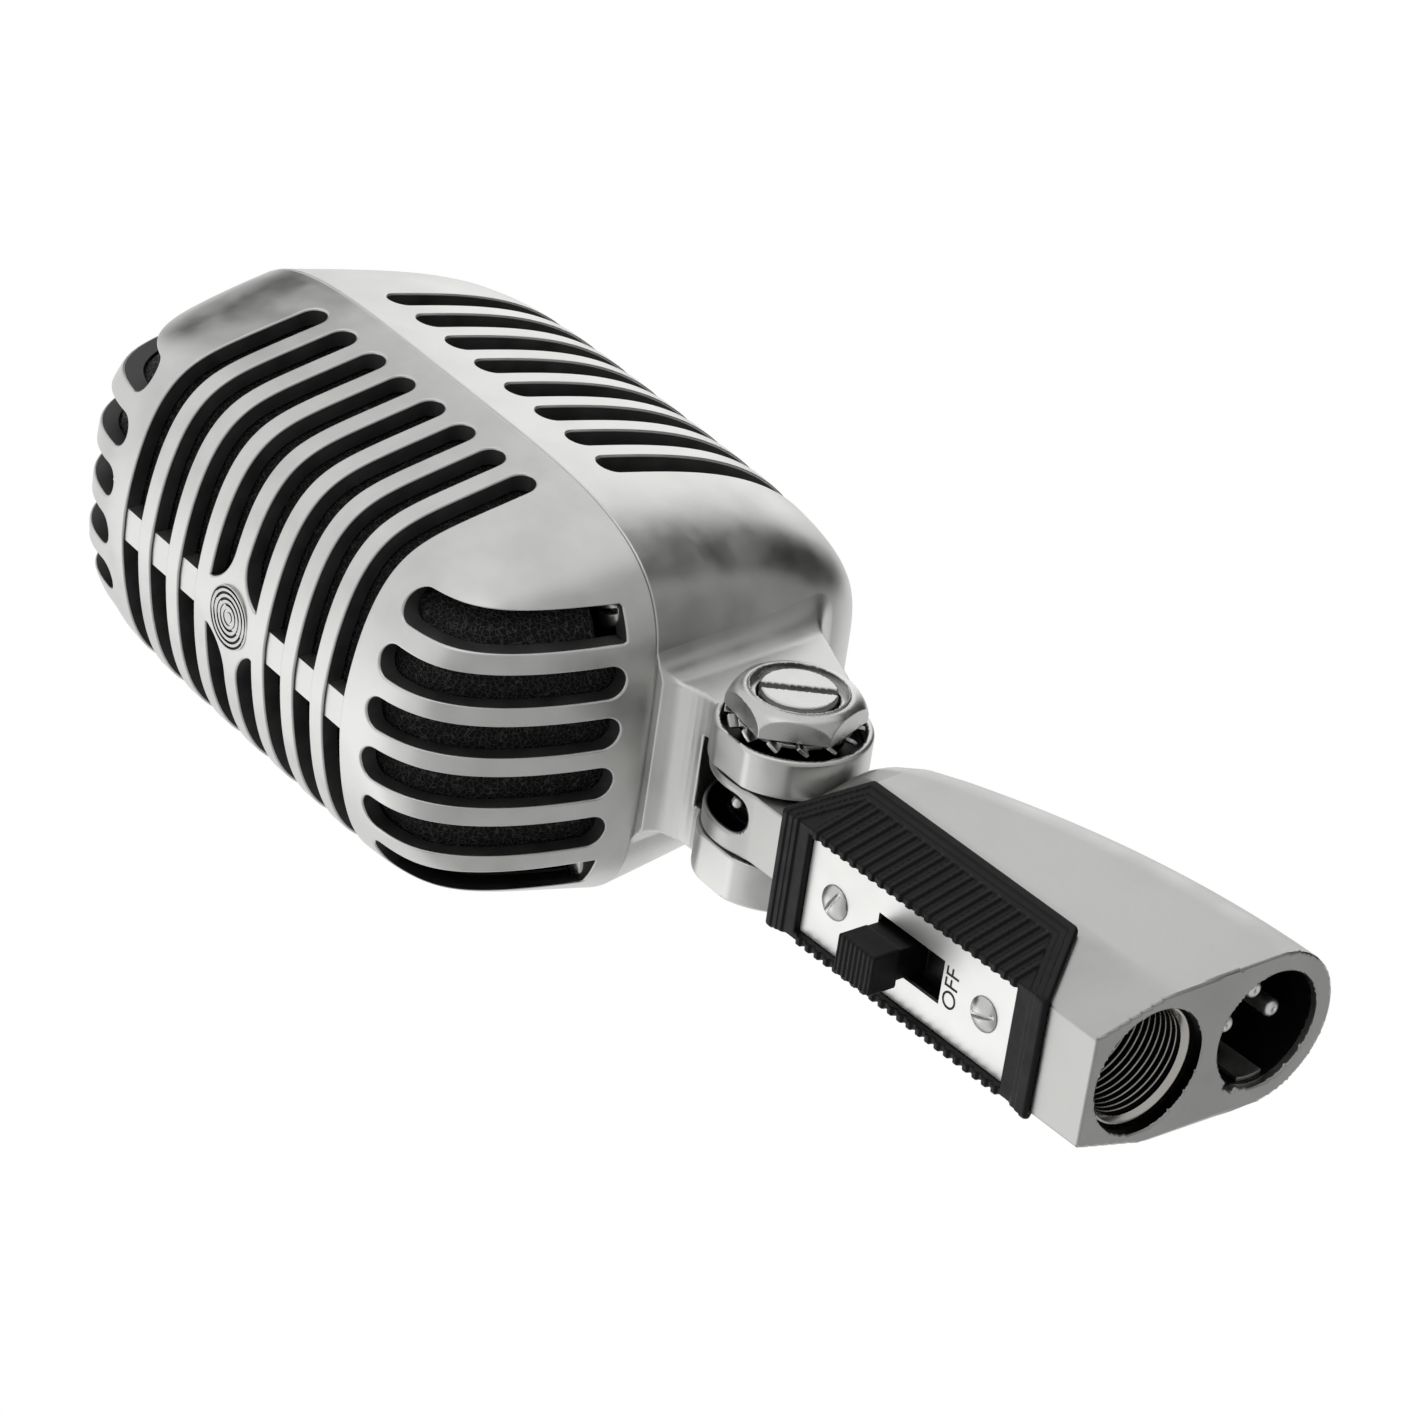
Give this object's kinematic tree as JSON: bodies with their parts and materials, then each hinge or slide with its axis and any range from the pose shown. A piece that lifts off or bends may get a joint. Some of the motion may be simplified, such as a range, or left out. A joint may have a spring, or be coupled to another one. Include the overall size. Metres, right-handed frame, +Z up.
{
  "type": "dynamic microphone",
  "caption": "Vintage slotted-grille moving-coil stage microphone whose head tilts on a forked swivel above a die-cast base with stand thread, slide switch and three-pin socket.",
  "frame": {"origin": "centre of the stand thread at the mouth of its threaded wall, 1.75 mm inside the foot of the base", "axes": "+Z up from the foot through the base, along the microphone's length; -Y is the front, where the emblem and the switch face; +X is the side of the slotted pivot screw's nut"},
  "size_m": [0.0574, 0.0788, 0.1853],
  "materials": {
    "die_cast": "satin metallic lacquer on die-cast metal",
    "bright_steel": "bright nickel-plated steel",
    "thread_metal": "nickel-plated brass, turned",
    "black_foam": "open-cell foam",
    "black_plastic": "moulded, fine matt",
    "socket_plastic": "moulded",
    "plate_metal": "satin silver plate",
    "emblem_metal": "dark satin disc",
    "capsule_metal": "matt",
    "soft_iron": "plated soft iron",
    "magnet_metal": "ground",
    "film": "thin film",
    "copper_wire": "enamelled copper wire",
    "rubber": "soft rubber",
    "bracket_steel": "pressed steel",
    "core_steel": "laminated steel",
    "coil_tape": "taped winding",
    "lead_plastic": "insulated wire",
    "board": "phenolic board",
    "contact_brass": "plain",
    "washer_fibre": "fibre"
  },
  "bodies": {
    "base": {"base_housing": "die_cast", "thread_insert": "thread_metal", "connector_insulator": "socket_plastic", "connector_pins": "bright_steel", "ground_contact": "bright_steel", "guide_pin": "bright_steel", "escutcheon": "black_plastic", "nameplate": "plate_metal", "nameplate_screws": "bright_steel", "switch_frame": "bracket_steel", "switch_base": "board", "switch_contacts": "contact_brass", "base_leads": "lead_plastic"},
    "head": {"front_grille": "die_cast", "rear_shell": "die_cast", "emblem": "emblem_metal", "front_foam": "black_foam", "rear_foam": "black_foam", "case_screws": "bright_steel", "capsule_housing": "capsule_metal", "capsule_cap": "capsule_metal", "diaphragm": "film", "voice_coil": "copper_wire", "top_plate": "soft_iron", "pole_piece": "soft_iron", "magnet": "magnet_metal", "magnet_yoke": "soft_iron", "resonator_cup": "capsule_metal", "shock_ring": "rubber", "cartridge_bracket": "bracket_steel", "bracket_screws": "bright_steel", "transformer_core": "core_steel", "transformer_coil": "coil_tape", "head_leads": "lead_plastic", "pivot_screw": "bright_steel", "pivot_nut": "bright_steel", "lock_washer": "bright_steel", "friction_washers": "washer_fibre"},
    "switch_slider": {"switch_button": "black_plastic", "sliding_contact": "contact_brass"}
  },
  "joints": [
    {"name": "head_tilt", "type": "hinge", "parent": "base", "child": "head", "pos_m": [0, 0.0007, 0.06775], "axis": [1, 0, 0], "range_deg": [-45, 45]},
    {"name": "switch_slide", "type": "slide", "parent": "base", "child": "switch_slider", "axis": [0, 0, -1], "range_m": [0, 0.0047]}
  ]
}
